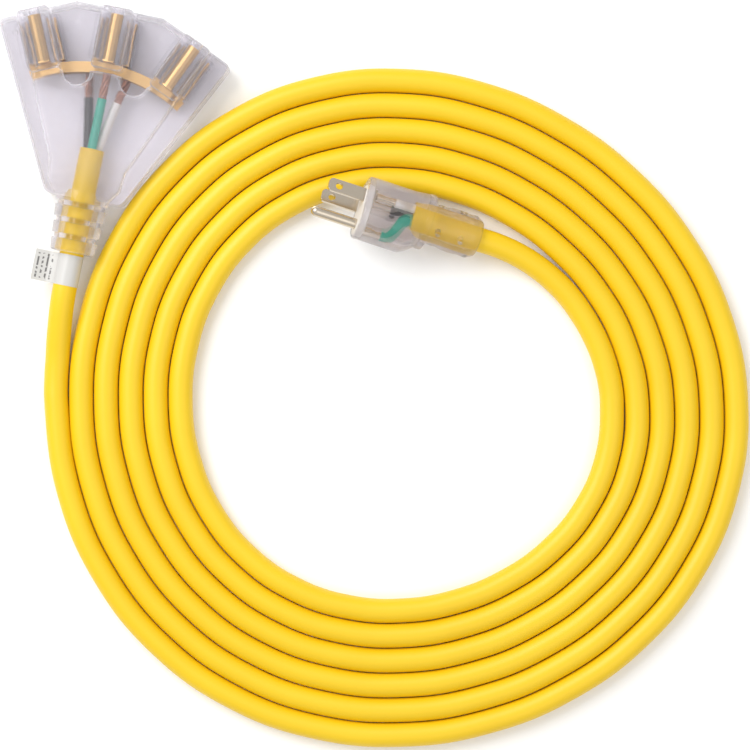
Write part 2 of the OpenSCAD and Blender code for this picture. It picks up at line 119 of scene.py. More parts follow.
# The plug: X runs back along its axis, Z across the blades
PLUG_NOSE = (123.8, -7.2, 20.5)
PLUG_YAW = -6
PLUG_PITCH = 10.5
PLUG_ROLL = -23
PLUG_LEN = 56
GROUND_OFFSET = 11.9
CRIMP_R = 1.7
BLADE_W, BLADE_T, BLADE_LEN, BLADE_BACK = 6.35, 1.5, 17.5, 4.6
BLADE_HOLE_X = -12.6
BLADE_HOLE_R = 1.55
RELIEF_HOLE_X = (36.3, 46.9)
RELIEF_HOLE_R = 1.35
RELIEF_HOLE_TURN = 50
PIN_R, PIN_LEN = 2.4, 21.2
BLADE_CRIMP = (4.6, 14)
PIN_CRIMP = (7, 12)
PLUG_JACKET_X = 23.4
PLUG_CORE_R = 2.7
WIRE_R = 2.1


SIDE_NAMES = {-1: "left", 0: "centre", 1: "right"}


def turned(axis, degrees):
    return Matrix.Rotation(math.radians(degrees), 4, axis)


def fan_frame(side):
    """Y runs out along the axis of one outlet, from the pole: side is -1, 0 or 1."""
    return Matrix.Translation((0, POLE_Y, 0)) @ turned("Z", -side * FAN_ANGLE)


NECK_FRAME = Matrix.Translation((0, BODY_Y, NECK_Z)) @ turned("X", 90)
PLUG_FRAME = (
    Matrix.Translation(PLUG_NOSE)
    @ turned("Z", PLUG_YAW)
    @ turned("Y", PLUG_PITCH)
    @ turned("X", PLUG_ROLL)
)


def fan_point(angle, out, side=0.0):
    """A point by its angle in the fan, its distance from the pole and its distance sideways."""
    a = math.radians(angle)
    x = out * math.sin(a) + side * math.cos(a)
    y = out * math.cos(a) - side * math.sin(a)
    return (x, y + POLE_Y)


def arc(centre, radius, first, last, steps):
    """Points along an arc, from one angle to another in degrees."""
    angles = [math.radians(first + (last - first) * i / steps) for i in range(steps + 1)]
    return [(centre[0] + radius * math.cos(a), centre[1] + radius * math.sin(a)) for a in angles]


# ---- Camera, straight above the spiral, a little turned ----

VIEW_TURN = 11.5
VIEW_HEIGHT = 1.1
VIEW_WIDTH = 0.341
VIEW_POINT = Vector((145.2, -82.5, CORD_R)) * MM

bpy.ops.object.camera_add(
    location=VIEW_POINT + Vector((0, 0, VIEW_HEIGHT)), rotation=(0, 0, math.radians(VIEW_TURN))
)
camera = bpy.context.object
camera.data.lens = camera.data.sensor_width * VIEW_HEIGHT / VIEW_WIDTH
camera.data.clip_start = 0.01
bpy.context.scene.camera = camera


# ---- Ways of shaping ----


def deselect():
    if bpy.context.object and bpy.context.object.mode != "OBJECT":
        bpy.ops.object.mode_set(mode="OBJECT")
    bpy.ops.object.select_all(action="DESELECT")


def edit(mode="FACE"):
    bpy.ops.object.mode_set(mode="EDIT")
    bpy.ops.mesh.select_mode(type=mode)


def done():
    bpy.ops.object.mode_set(mode="OBJECT")


def loft(name, rings, place):
    """A closed skin: a disc laid on the first ring of points, then extruded from ring to ring."""
    deselect()
    bpy.ops.mesh.primitive_circle_add(vertices=len(rings[0]), fill_type="NGON")
    piece = bpy.context.object
    piece.name = piece.data.name = name
    rings = [[MM * (place @ Vector(p)) for p in ring] for ring in rings]
    for vertex, point in zip(piece.data.vertices, rings[0]):
        vertex.co = point
    before = rings[0]
    for ring in rings[1:]:
        edit()
        bpy.ops.mesh.extrude_region_move()
        done()
        moved = [v for v in piece.data.vertices if v.select]
        for vertex in moved:
            nearest = min(range(len(before)), key=lambda i: (before[i] - vertex.co).length)
            vertex.co = ring[nearest]
        before = ring
    face_outwards()
    return piece


def face_outwards():
    edit()
    bpy.ops.mesh.select_all(action="SELECT")
    bpy.ops.mesh.normals_make_consistent(inside=False)
    done()


def prism(name, outline, low, high, place=Matrix()):
    """An outline in X and Y, raised from one height to another."""
    return loft(name, [[(x, y, z) for x, y in outline] for z in (low, high)], place)


def block(name, low, high, place):
    """A block between two opposite corners."""
    corners = [(low[0], low[1]), (high[0], low[1]), (high[0], high[1]), (low[0], high[1])]
    return prism(name, corners, low[2], high[2], place)


def round_edges(piece, width, segments, chosen):
    """Bevels the edges whose two ends, in millimetres, chosen() picks."""
    mesh = piece.data
    bpy.context.view_layer.objects.active = piece
    for part in (mesh.vertices, mesh.polygons):
        for item in part:
            item.select = False
    for edge in mesh.edges:
        ends = [mesh.vertices[i].co / MM for i in edge.vertices]
        edge.select = chosen(*ends)
    edit("EDGE")
    bpy.ops.mesh.bevel(offset=width * MM, segments=segments, affect="EDGES")
    done()


def upright(a, b):
    return abs(a.x - b.x) < 0.01 and abs(a.y - b.y) < 0.01


def at_height(z):
    return lambda a, b: abs(a.z - z) < 0.01 and abs(b.z - z) < 0.01


def combine(piece, other, operation="UNION"):
    """Joins another solid to a piece, or cuts the piece with it."""
    deselect()
    bpy.context.view_layer.objects.active = piece
    modifier = piece.modifiers.new("combine", "BOOLEAN")
    modifier.object = other
    modifier.operation = operation
    modifier.solver = "EXACT"
    bpy.ops.object.modifier_apply(modifier=modifier.name)
    bpy.data.objects.remove(other)


def smooth(piece, degrees=35):
    deselect()
    piece.select_set(True)
    bpy.context.view_layer.objects.active = piece
    bpy.ops.object.shade_smooth_by_angle(angle=math.radians(degrees))
    flat = piece.modifiers.new("flat", "WEIGHTED_NORMAL")
    flat.keep_sharp = True
    flat.weight = 100
    bpy.ops.object.modifier_apply(modifier=flat.name)


def tube(name, points, radius, steps, sides=24):
    """A round tube along one smooth line through points in millimetres."""
    data = bpy.data.curves.new(name, "CURVE")
    data.dimensions = "3D"
    data.resolution_u = data.render_resolution_u = steps
    data.bevel_depth = radius * MM
    data.bevel_resolution = sides // 2 - 2
    data.use_fill_caps = True
    spline = data.splines.new("BEZIER")
    spline.bezier_points.add(len(points) - 1)
    for knot, point in zip(spline.bezier_points, points):
        knot.co = Vector(point) * MM
        knot.handle_left_type = knot.handle_right_type = "AUTO"
    piece = bpy.data.objects.new(name, data)
    bpy.context.collection.objects.link(piece)
    return piece


# ---- Materials ----


def paint(code):
    """An sRGB hex colour as the linear one that shaders take."""
    parts = [int(code[i : i + 2], 16) / 255 for i in (1, 3, 5)]
    line = [c / 12.92 if c <= 0.04045 else ((c + 0.055) / 1.055) ** 2.4 for c in parts]
    return (*line, 1.0)


def add(tree, kind, inputs, **settings):
    """A node with its settings; each input is given a value or another node's output."""
    node = tree.nodes.new("ShaderNode" + kind)
    for name, value in settings.items():
        setattr(node, name, value)
    for key, value in inputs.items():
        if isinstance(value, bpy.types.NodeSocket):
            tree.links.new(value, node.inputs[key])
        else:
            node.inputs[key].default_value = value
    return node


def begin(name):
    material = bpy.data.materials.new(name)
    material.use_nodes = True
    material.node_tree.nodes.clear()
    return material, material.node_tree


def object_point(tree):
    return add(tree, "TexCoord", {}).outputs["Object"]


def yellow_vinyl():
    """Extruded PVC jacket: satin, evenly yellow, with faint cloudiness and a fine skin."""
    material, tree = begin("extruded_yellow_pvc")
    point = object_point(tree)
    cloud = add(tree, "TexNoise", {"Vector": point, "Scale": 1 / (45 * MM), "Detail": 3})
    tint = add(
        tree,
        "Mix",
        {0: cloud.outputs["Fac"], 6: paint("#E8BE07"), 7: paint("#F0CA14")},
        data_type="RGBA",
    )
    skin = add(tree, "TexNoise", {"Vector": point, "Scale": 1 / (1.6 * MM), "Detail": 4})
    bump = add(tree, "Bump", {"Height": skin.outputs["Fac"], "Strength": 0.12, "Distance": 0.2 * MM})
    gloss = add(tree, "MapRange", {0: skin.outputs["Fac"], 3: 0.38, 4: 0.5})
    shader = add(
        tree,
        "BsdfPrincipled",
        {
            "Base Color": tint.outputs[2],
            "Roughness": gloss.outputs[0],
            "IOR": 1.53,
            "Normal": bump.outputs[0],
        },
    )
    add(tree, "OutputMaterial", {"Surface": shader.outputs[0]})
    return material


def coloured_vinyl(name, colour):
    """Extruded PVC wire insulation: satin, with a fine skin."""
    material, tree = begin(name)
    skin = add(tree, "TexNoise", {"Vector": object_point(tree), "Scale": 1 / (1.2 * MM)})
    gloss = add(tree, "MapRange", {0: skin.outputs["Fac"], 3: 0.3, 4: 0.45})
    bump = add(tree, "Bump", {"Height": skin.outputs["Fac"], "Strength": 0.1, "Distance": 0.1 * MM})
    shader = add(
        tree,
        "BsdfPrincipled",
        {
            "Base Color": paint(colour),
            "Roughness": gloss.outputs[0],
            "IOR": 1.53,
            "Normal": bump.outputs[0],
        },
    )
    add(tree, "OutputMaterial", {"Surface": shader.outputs[0]})
    return material


WALL_CLARITY = 0.62


def clear_vinyl(name, skin_colour, roughness, clarity, presence, depth_colour, density, thin_y=None):
    """Moulded clear PVC: a little milky and wavy, and faintly lilac through its depth.

    In the tap the upright walls are hazy from the mould's texture, and the thin neck is clear:
    thin_y is where it starts, in millimetres along Y."""
    material, tree = begin(name)
    point = object_point(tree)
    flow = add(tree, "TexNoise", {"Vector": point, "Scale": 1 / (9 * MM), "Detail": 2})
    bump = add(tree, "Bump", {"Height": flow.outputs["Fac"], "Strength": 0.1, "Distance": 0.3 * MM})
    haze = clarity
    if thin_y is not None:
        along = add(tree, "SeparateXYZ", {0: point}).outputs["Y"]
        low, high = (thin_y - 2) * MM, (thin_y + 14) * MM
        thin = add(tree, "MapRange", {0: along, 1: low, 2: high, 3: 0.98, 4: clarity})
        facing = add(tree, "SeparateXYZ", {0: add(tree, "NewGeometry", {}).outputs["Normal"]})
        level = add(tree, "Math", {0: facing.outputs["Z"]}, operation="ABSOLUTE")
        wall = add(tree, "MapRange", {0: level.outputs[0], 1: 0.5, 2: 0.97, 3: WALL_CLARITY, 4: 1.0})
        haze = add(tree, "Math", {0: thin.outputs[0], 1: wall.outputs[0]}, operation="MULTIPLY")
        haze = haze.outputs[0]
    shader = add(
        tree,
        "BsdfPrincipled",
        {
            "Base Color": paint(skin_colour),
            "Roughness": roughness,
            "IOR": 1.5,
            "Alpha": presence,
            "Transmission Weight": haze,
            "Normal": bump.outputs[0],
        },
    )
    depth = add(tree, "VolumeAbsorption", {"Color": paint(depth_colour), "Density": density})
    add(tree, "OutputMaterial", {"Surface": shader.outputs[0], "Volume": depth.outputs[0]})
    return material


def stamped_metal(name, colour, roughness, grain):
    """Stamped strip: rolled metal with fine drawn lines and a soft shine."""
    material, tree = begin(name)
    point = object_point(tree)
    lines = add(tree, "TexNoise", {"Vector": point, "Scale": 1 / (grain * MM), "Detail": 2})
    gloss = add(
        tree, "MapRange", {0: lines.outputs["Fac"], 3: roughness - 0.05, 4: roughness + 0.05}
    )
    bump = add(tree, "Bump", {"Height": lines.outputs["Fac"], "Strength": 0.05, "Distance": 0.02 * MM})
    shader = add(
        tree,
        "BsdfPrincipled",
        {
            "Base Color": paint(colour),
            "Metallic": 1.0,
            "Roughness": gloss.outputs[0],
            "Normal": bump.outputs[0],
        },
    )
    add(tree, "OutputMaterial", {"Surface": shader.outputs[0]})
    return material


def moulded_nylon():
    """Moulded white nylon: waxy, softly shining, with the mould's spark-eroded grain."""
    material, tree = begin("moulded_white_nylon")
    grain = add(tree, "TexNoise", {"Vector": object_point(tree), "Scale": 1 / (0.7 * MM), "Detail": 3})
    bump = add(tree, "Bump", {"Height": grain.outputs["Fac"], "Strength": 0.2, "Distance": 0.1 * MM})
    shader = add(
        tree,
        "BsdfPrincipled",
        {
            "Base Color": paint("#E6E2DE"),
            "Roughness": 0.42,
            "IOR": 1.53,
            "Subsurface Weight": 0.2,
            "Subsurface Radius": (0.002, 0.002, 0.002),
            "Subsurface Scale": 1.0,
            "Normal": bump.outputs[0],
        },
    )
    add(tree, "OutputMaterial", {"Surface": shader.outputs[0]})
    return material


def label_film():
    """Printed vinyl film: white, semi-gloss, with plain grey bars in place of print."""
    material, tree = begin("printed_label_film")
    place = add(tree, "SeparateXYZ", {0: object_point(tree)})
    across, along = place.outputs["X"], place.outputs["Y"]
    wave = add(tree, "Math", {0: across, 1: 2 * math.pi / (2.1 * MM)}, operation="MULTIPLY")
    wave = add(tree, "Math", {0: wave.outputs[0]}, operation="SINE")
    band = add(tree, "Math", {0: wave.outputs[0], 1: 0.35}, operation="GREATER_THAN")
    words = add(tree, "CombineXYZ", {0: across, 1: along})
    stretch = add(tree, "Mapping", {"Vector": words.outputs[0], "Scale": (470, 900, 1)})
    gaps = add(tree, "TexNoise", {"Vector": stretch.outputs[0], "Scale": 1.0, "Detail": 0})
    word = add(tree, "Math", {0: gaps.outputs["Fac"], 1: 0.44}, operation="GREATER_THAN")
    left = add(tree, "Math", {0: across, 1: -7.2 * MM}, operation="LESS_THAN")
    right = add(tree, "Math", {0: across, 1: -15.1 * MM}, operation="GREATER_THAN")
    low = add(tree, "Math", {0: along, 1: -69.6 * MM}, operation="GREATER_THAN")
    high = add(tree, "Math", {0: along, 1: -58.2 * MM}, operation="LESS_THAN")
    shown = band.outputs[0]
    for limit in (word, left, right, low, high):
        shown = add(tree, "Math", {0: shown, 1: limit.outputs[0]}, operation="MULTIPLY").outputs[0]
    ink = add(
        tree, "Mix", {0: shown, 6: paint("#CBC9C5"), 7: paint("#6E6C6A")}, data_type="RGBA"
    )
    shader = add(
        tree,
        "BsdfPrincipled",
        {"Base Color": ink.outputs[2], "Roughness": 0.32, "IOR": 1.5},
    )
    add(tree, "OutputMaterial", {"Surface": shader.outputs[0]})
    return material


YELLOW = yellow_vinyl()
BLACK = coloured_vinyl("extruded_black_pvc", "#1F1D1C")
WHITE = coloured_vinyl("extruded_white_pvc", "#E9E6E1")
GREEN = coloured_vinyl("extruded_green_pvc", "#12A98F")
CLEAR = clear_vinyl("moulded_clear_pvc", "#F8F5FC", 0.15, 0.85, 0.7, "#CDC1D6", 5, BODY_Y)
INNER_CLEAR = clear_vinyl("moulded_inner_pvc", "#FAF8FC", 0.1, 0.95, 0.15, "#E4DEE8", 1)
PLUG_CLEAR = clear_vinyl("moulded_clear_plug_pvc", "#F2ECF0", 0.08, 0.95, 0.72, "#BBA8B6", 11)
BRASS = stamped_metal("stamped_brass", "#CBA56A", 0.34, 1.5)
COPPER = stamped_metal("bare_copper_strand", "#B0806C", 0.32, 0.8)
NICKEL = stamped_metal("nickel_plated_brass", "#D2C6B4", 0.24, 2.2)
NYLON = moulded_nylon()
FILM = label_film()


def finished(piece, material, slot, *nodes):
    """Gives a new piece its material, hangs it from the root and hides the nodes it stands for; slot is
    not used.
    """
    piece.data.materials.clear()
    piece.data.materials.append(material)
    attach(piece, "root")
    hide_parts(*nodes)
    return piece


# ---- Cord ----


def coil_point(degrees):
    """A point on the spiral, whose radius swells and shrinks a little, as laid by hand."""
    a = math.radians(degrees)
    lead = math.radians(degrees + 163.5)
    oval = math.radians(2 * (degrees + 8))
    lobes = math.radians(3 * (degrees - 3.3))
    wobble = 1.8 * math.cos(lead) + 2 * math.cos(oval) + 1.6 * math.cos(lobes)
    r = COIL_R - COIL_PITCH * (degrees - COIL_START) / 360 + wobble
    return (COIL_CENTRE[0] + r * math.cos(a), COIL_CENTRE[1] + r * math.sin(a), CORD_R)


def plug_point(x):
    return tuple(PLUG_FRAME @ Vector((x, 0, 0)))


POINTS_PER_TURN = 24
tap_lead = [
    (0, TAP_LOW.y, NECK_Z), (0, -64, NECK_Z), (0, -72, NECK_Z), (0.2, -80, 11.4), (0.7, -88, 9.6),
    (1.4, -96, 7.8), (2.4, -104, 6.2), (3.4, -112, CORD_R),
]
coil = [
    coil_point(COIL_START + 360 * i / POINTS_PER_TURN)
    for i in range(int(COIL_TURNS * POINTS_PER_TURN) + 1)
]
plug_lead = [
    (250.7, -65.2, CORD_R), (247.1, -57.4, CORD_R), (242.7, -49.9, CORD_R), (237.4, -42.8, CORD_R),
    (231.3, -36.1, CORD_R), (224.4, -29.8, CORD_R), (216.6, -24.4, 5.6), (208.1, -19.9, 6),
    (198.6, -16.3, 6.9), plug_point(PLUG_LEN + 10), plug_point(PLUG_LEN),
]
cord = finished(
    tube("cord", tap_lead + coil + plug_lead, CORD_R, steps=10),
    YELLOW, "yellow_jacket", "cord_lead_tap", "cord_coil", "cord_lead_plug",
)


# ---- Tap ----


def mirrored(half):
    """A whole outline from its right half, which runs from the neck to the middle of the front."""
    return half + [(-x, y) for x, y in reversed(half)]


def slab_outline():
    a = math.radians(FAN_ANGLE)
    depth = FACE_R + (BODY_Y - POLE_Y) * -math.cos(a) - BASE_HALF_W * math.sin(a)
    rise = depth / (SIDE_SLOPE * math.sin(a) + math.cos(a))
    corner = (BASE_HALF_W + SIDE_SLOPE * rise, BODY_Y + rise)
    apex = (FACE_R * math.tan(a / 2), TAP_HIGH.y)
    return mirrored([(BASE_HALF_W, BODY_Y), corner, apex])


def deck_outline():
    """The raised panel, with the round bottom of a pocket between each pair of ridges."""
    centre = fan_point(FAN_ANGLE / 2, (RIDGE_HALF_W + POCKET_R) / math.sin(math.radians(FAN_ANGLE / 2)))
    inside_side_ridge = fan_point(FAN_ANGLE, 75, 0)
    half = [(NECK_R[0], BODY_Y), (16.5, BODY_Y + 6), (17.6, BODY_Y + 15)]
    half += [fan_point(FAN_ANGLE, RIDGE_BACK_R + 0.2, RIDGE_HALF_W - 0.1), inside_side_ridge]
    half += arc(centre, POCKET_R, -FAN_ANGLE + 14, -194, 18)
    half += [(4, centre[1] + 2)]
    return mirrored(half)


def rim_outline(side):
    """The low rim in front of a pocket."""
    inner, outer = FACE_R - RIM_W, FACE_R - 0.06
    bend = 1 / math.cos(math.radians(FAN_ANGLE / 2))
    right = [
        (4, POLE_Y + inner), fan_point(FAN_ANGLE / 2, inner * bend), fan_point(FAN_ANGLE, inner, -4),
        fan_point(FAN_ANGLE, outer, -4), fan_point(FAN_ANGLE / 2, outer * bend), (4, POLE_Y + outer),
    ]
    return [(side * x, y) for x, y in right]


def ring(radius, z, flute=0.0):
    """A ring of points, which may have shallow flutes."""
    angles = [2 * math.pi * (i + 0.5) / RING_SIDES for i in range(RING_SIDES)]
    radii = [radius + flute * math.cos(FLUTES * a) for a in angles]
    return [(r * math.cos(a), r * math.sin(a), z) for a, r in zip(angles, radii)]


def neck_solid():
    """The strain relief: a cone that ends in a rounded lip."""
    slope = (NECK_R[1] - NECK_R[0]) / NECK_LEN
    rings = [ring(NECK_R[0] - 0.05, -3)]
    rings += [ring(NECK_R[0] + slope * z, z) for z in (0, 6, 12, 18, NECK_LEN - 0.8)]
    rings += [ring(NECK_R[1] - 0.3, NECK_LEN - 0.25), ring(NECK_R[1] - 0.9, NECK_LEN)]
    return loft("neck", rings, NECK_FRAME)


def flex_slot(row, turn):
    """A cutter for one of the four slots in a row: a sector of a ring, down to the cord."""
    first, last = turn - SLOT_HALF_ANGLE, turn + SLOT_HALF_ANGLE
    outline = arc((0, 0), NECK_R[0] + 1, first, last, 12)
    outline += arc((0, 0), CORD_R + 0.1, last, first, 12)
    start = 2 + row * SLOT_PITCH
    return prism("flex_slot", outline, start, start + SLOT_W, NECK_FRAME)


def blade_way(side, x):
    """A cutter for one blade: the slot in the face, and the wider cell behind it."""
    corners = ((-1, -1), (1, -1), (1, 1), (-1, 1))
    sections = [(y, *BLADE_CELL_HALF) for y in (CARRIER_BACK_R + 0.2, MOUTH_R)]
    sections += [(y, *BLADE_SLOT_HALF) for y in (MOUTH_R + 0.01, FACE_R + 1)]
    rings = [[(x + i * w, y, SLOT_Z + j * h) for i, j in corners] for y, w, h in sections]
    return loft("blade_way", rings, fan_frame(side))


def ground_way(side):
    """A cutter for the ground pin: the hole in the face, and the bore of the contact."""
    place = fan_frame(side) @ Matrix.Translation((0, 0, GROUND_Z)) @ turned("X", -90)
    cell = STEM_R - 0.15
    eased = PIN_HOLE_R + PIN_HOLE_EASE
    rings = [ring(cell, CARRIER_BACK_R + 0.2), ring(cell, MOUTH_R - 0.01), ring(PIN_HOLE_R, MOUTH_R)]
    rings += [ring(PIN_HOLE_R, FACE_R - PIN_HOLE_EASE), ring(eased, FACE_R), ring(eased, FACE_R + 1)]
    return loft("ground_way", rings, place)


def dimple(x, y, radius):
    """A cutter for one of the shallow round marks beside the outlets."""
    deselect()
    centre = Vector((x, y, SLAB_H + radius - DIMPLE_DEPTH)) * MM
    bpy.ops.mesh.primitive_uv_sphere_add(
        segments=32, ring_count=16, radius=radius * MM, location=centre
    )
    bpy.ops.object.transform_apply()
    return bpy.context.object


def tap_shell():
    """The clear moulding: slab, deck, ridges, rims and neck, then the ways into it."""
    shell = prism("tap_shell", slab_outline(), 0, SLAB_H)
    round_edges(shell, 2.2, 4, upright)
    round_edges(shell, 1.1, 3, at_height(SLAB_H))
    round_edges(shell, 1.1, 3, at_height(0))
    deck = prism("deck", deck_outline(), 2, DECK_H)
    round_edges(deck, 2.2, 5, at_height(DECK_H))
    combine(shell, deck)
    for side in (-1, 0, 1):
        low = (-RIDGE_HALF_W, RIDGE_BACK_R, 2)
        high = (RIDGE_HALF_W, FACE_R - 0.04, TAP_HIGH.z)
        ridge = block("ridge", low, high, fan_frame(side))
        round_edges(ridge, 2, 4, upright)
        round_edges(ridge, 1.3, 3, at_height(TAP_HIGH.z))
        combine(shell, ridge)
    for side in (-1, 1):
        rim = prism("rim", rim_outline(side), 2, RIM_H)
        round_edges(rim, 0.7, 2, at_height(RIM_H))
        combine(shell, rim)
    combine(shell, neck_solid())
    for row in range(SLOT_ROWS):
        for turn in (0, 90, 180, 270):
            combine(shell, flex_slot(row, turn), "DIFFERENCE")
    for side in (-1, 0, 1):
        for x in (-BLADE_HALF_GAP, BLADE_HALF_GAP):
            combine(shell, blade_way(side, x), "DIFFERENCE")
        combine(shell, ground_way(side), "DIFFERENCE")
    for x, y, radius in DIMPLES:
        for side in (-1, 1):
            combine(shell, dimple(side * x, y, radius), "DIFFERENCE")
    smooth(shell)
    return shell


finished(tap_shell(), CLEAR, "clear_pvc", "tap_body")


def outlet_carrier(side):
    """The first moulding round one outlet's contacts: a block with a tower for the ground."""
    place = fan_frame(side)
    name = "carrier_" + SIDE_NAMES[side]
    low = (-CARRIER_HALF_W, CARRIER_BACK_R + 0.3, CARRIER_LOW)
    carrier = block(name, low, (CARRIER_HALF_W, MOUTH_R - 0.3, CARRIER_STEP), place)
    round_edges(carrier, 1, 2, upright)
    round_edges(carrier, 0.6, 2, at_height(CARRIER_STEP))
    low = (-TOWER_HALF_W, CARRIER_BACK_R + 0.3, CARRIER_STEP - 2)
    tower = block("tower", low, (TOWER_HALF_W, MOUTH_R - 0.3, CARRIER_TOP), place)
    round_edges(tower, 1.2, 3, upright)
    round_edges(tower, 0.7, 2, at_height(CARRIER_TOP))
    combine(carrier, tower)
    for x in (-BLADE_HALF_GAP, BLADE_HALF_GAP):
        combine(carrier, blade_way(side, x), "DIFFERENCE")
    combine(carrier, ground_way(side), "DIFFERENCE")
    smooth(carrier)
    return carrier


for side, word in SIDE_NAMES.items():
    finished(outlet_carrier(side), INNER_CLEAR, "inner_pvc", "outlet_carrier_" + word)


# ---- Ground contacts and stripped wires ----


def ground_sleeve(side):
    """A rolled and fluted sleeve: a wider tip, and a seam from the tip back to the tail."""
    stem_start = MOUTH_R - SLEEVE_TIP_LEN
    lengths = [(MOUTH_R, SLEEVE_R), (MOUTH_R - 0.5, SLEEVE_R - 0.05)]
    lengths += [(stem_start + 0.4, SLEEVE_R - 0.05), (stem_start, SLEEVE_R)]
    lengths += [(stem_start - 0.5, STEM_R), (BUS_OUTER_R + 0.2, STEM_R)]
    place = fan_frame(side) @ Matrix.Translation((0, 0, GROUND_Z)) @ turned("X", -90)
    rings = [ring(r, y, flute=FLUTE_DEPTH) for y, r in lengths]
    sleeve = loft("ground_sleeve_" + SIDE_NAMES[side], rings, place)
    inverse = place.inverted()
    for face in sleeve.data.polygons:
        spot = inverse @ (face.center / MM)
        cap = len(face.vertices) > 4
        in_stem = spot.z < stem_start - 0.4
        face.select = cap or (in_stem and spot.y > 0 and abs(spot.x) < 0.1)
    edit()
    bpy.ops.mesh.delete(type="FACE")
    done()
    bpy.context.view_layer.objects.active = sleeve
    wall = sleeve.modifiers.new("wall", "SOLIDIFY")
    wall.thickness = SLEEVE_WALL * MM
    wall.offset = -1
    bpy.ops.object.modifier_apply(modifier=wall.name)
    tail = block(
        "tail", (-TAIL_HALF_W, BUS_OUTER_R, GROUND_BUS_Z + STRIP_T),
        (TAIL_HALF_W, CARRIER_BACK_R, GROUND_Z + STEM_R), fan_frame(side),
    )
    round_edges(tail, 0.25, 2, upright)
    foot = block(
        "foot", (-TAIL_HALF_W, BUS_OUTER_R - 1, GROUND_BUS_Z + STRIP_T - 0.05),
        (TAIL_HALF_W, CARRIER_BACK_R, GROUND_BUS_Z + STRIP_T + 0.5), fan_frame(side),
    )
    combine(tail, foot)
    combine(sleeve, tail)
    smooth(sleeve)
    return sleeve


for side, word in SIDE_NAMES.items():
    finished(ground_sleeve(side), BRASS, "brass", "ground_contact_" + word)


def strand_bundle(name, start, end):
    """Seven copper strands, six of them laid in a slow twist round the middle one."""
    start, end = Vector(start), Vector(end)
    along = (end - start).normalized()
    across = along.orthogonal()
    steps = 8
    strands = []
    for strand in range(7):
        out = 2 * STRAND_R if strand else 0
        points = []
        for i in range(steps + 1):
            turn = Matrix.Rotation(math.radians(60 * strand + 140 * i / steps), 3, along)
            points.append(start.lerp(end, i / steps) + out * (turn @ across))
        strands.append(tube(name, points, STRAND_R, steps=3, sides=10))
    deselect()
    for strand in strands:
        strand.select_set(True)
    bpy.context.view_layer.objects.active = strands[0]
    bpy.ops.object.convert(target="MESH")
    bpy.ops.object.join()
    return strands[0]


SIDE_CORE = (CORE_R * math.cos(math.radians(30)), -CORE_R / 2)
for word, angle, core, bus_z in (
    ("line", -WELD_ANGLE, (-SIDE_CORE[0], SIDE_CORE[1]), LINE_BUS_Z),
    ("neutral", WELD_ANGLE, SIDE_CORE, NEUTRAL_BUS_Z),
    ("ground", 0, (0, CORE_R), GROUND_BUS_Z),
):
    weld = Vector((*fan_point(angle, BUS_INNER_R), bus_z + STRIP_T / 2))
    jacket_end = Vector((core[0], BODY_Y + 22.8, NECK_Z + core[1]))
    bare = jacket_end.lerp(weld, STRIPPED_FROM - 0.02)
    finished(
        strand_bundle(word + "_strands", bare, weld), COPPER, "copper", "tap_" + word + "_strands"
    )


# ---- Label ----

LABEL_START = TAP_LOW.y - 1
LABEL_LEN = 14
FLAG_TIP_X = -15.9


def flag_label():
    """A strip of film round the cord, whose two ends stick together as a flag."""
    wrap = CORD_R + 0.15
    upper = [(FLAG_TIP_X + i * 1.5, NECK_Z + 0.14) for i in range(6)]
    round_cord = arc((0, NECK_Z), wrap, 166, -166, 40)
    path = upper + round_cord + [(x, 2 * NECK_Z - z) for x, z in reversed(upper)]
    rows = 8
    deselect()
    bpy.ops.mesh.primitive_grid_add(x_subdivisions=len(path) - 1, y_subdivisions=rows - 1)
    label = bpy.context.object
    label.name = label.data.name = "label"
    for i, vertex in enumerate(label.data.vertices):
        x, z = path[i % len(path)]
        share = (i // len(path)) / (rows - 1)
        out = max(0.0, -x - CORD_R - 1)
        lift = 0.012 * out * out + 0.35 * out / 10 * math.sin(3 * share)
        vertex.co = Vector((x, LABEL_START - LABEL_LEN * share, z + lift)) * MM
    thick = label.modifiers.new("film", "SOLIDIFY")
    thick.thickness = 0.16 * MM
    thick.offset = 1
    bpy.ops.object.modifier_apply(modifier=thick.name)
    face_outwards()
    smooth(label)
    return label


label = finished(flag_label(), FILM, "label_film", "flag_label")


# ---- Plug ----


def plug_ring(x, radius, low=None, high=None, half_h=None, count=64):
    """A ring across the plug's axis: a circle, or a box with corners of that radius."""
    points = []
    for i in range(count):
        a = 2 * math.pi * (i + 0.5) / count
        y, z = radius * math.cos(a), radius * math.sin(a)
        if low is not None:
            y += (high - radius) if math.cos(a) > 0 else (low + radius)
            z += math.copysign(half_h - radius, math.sin(a))
        points.append((x, y, z))
    return points


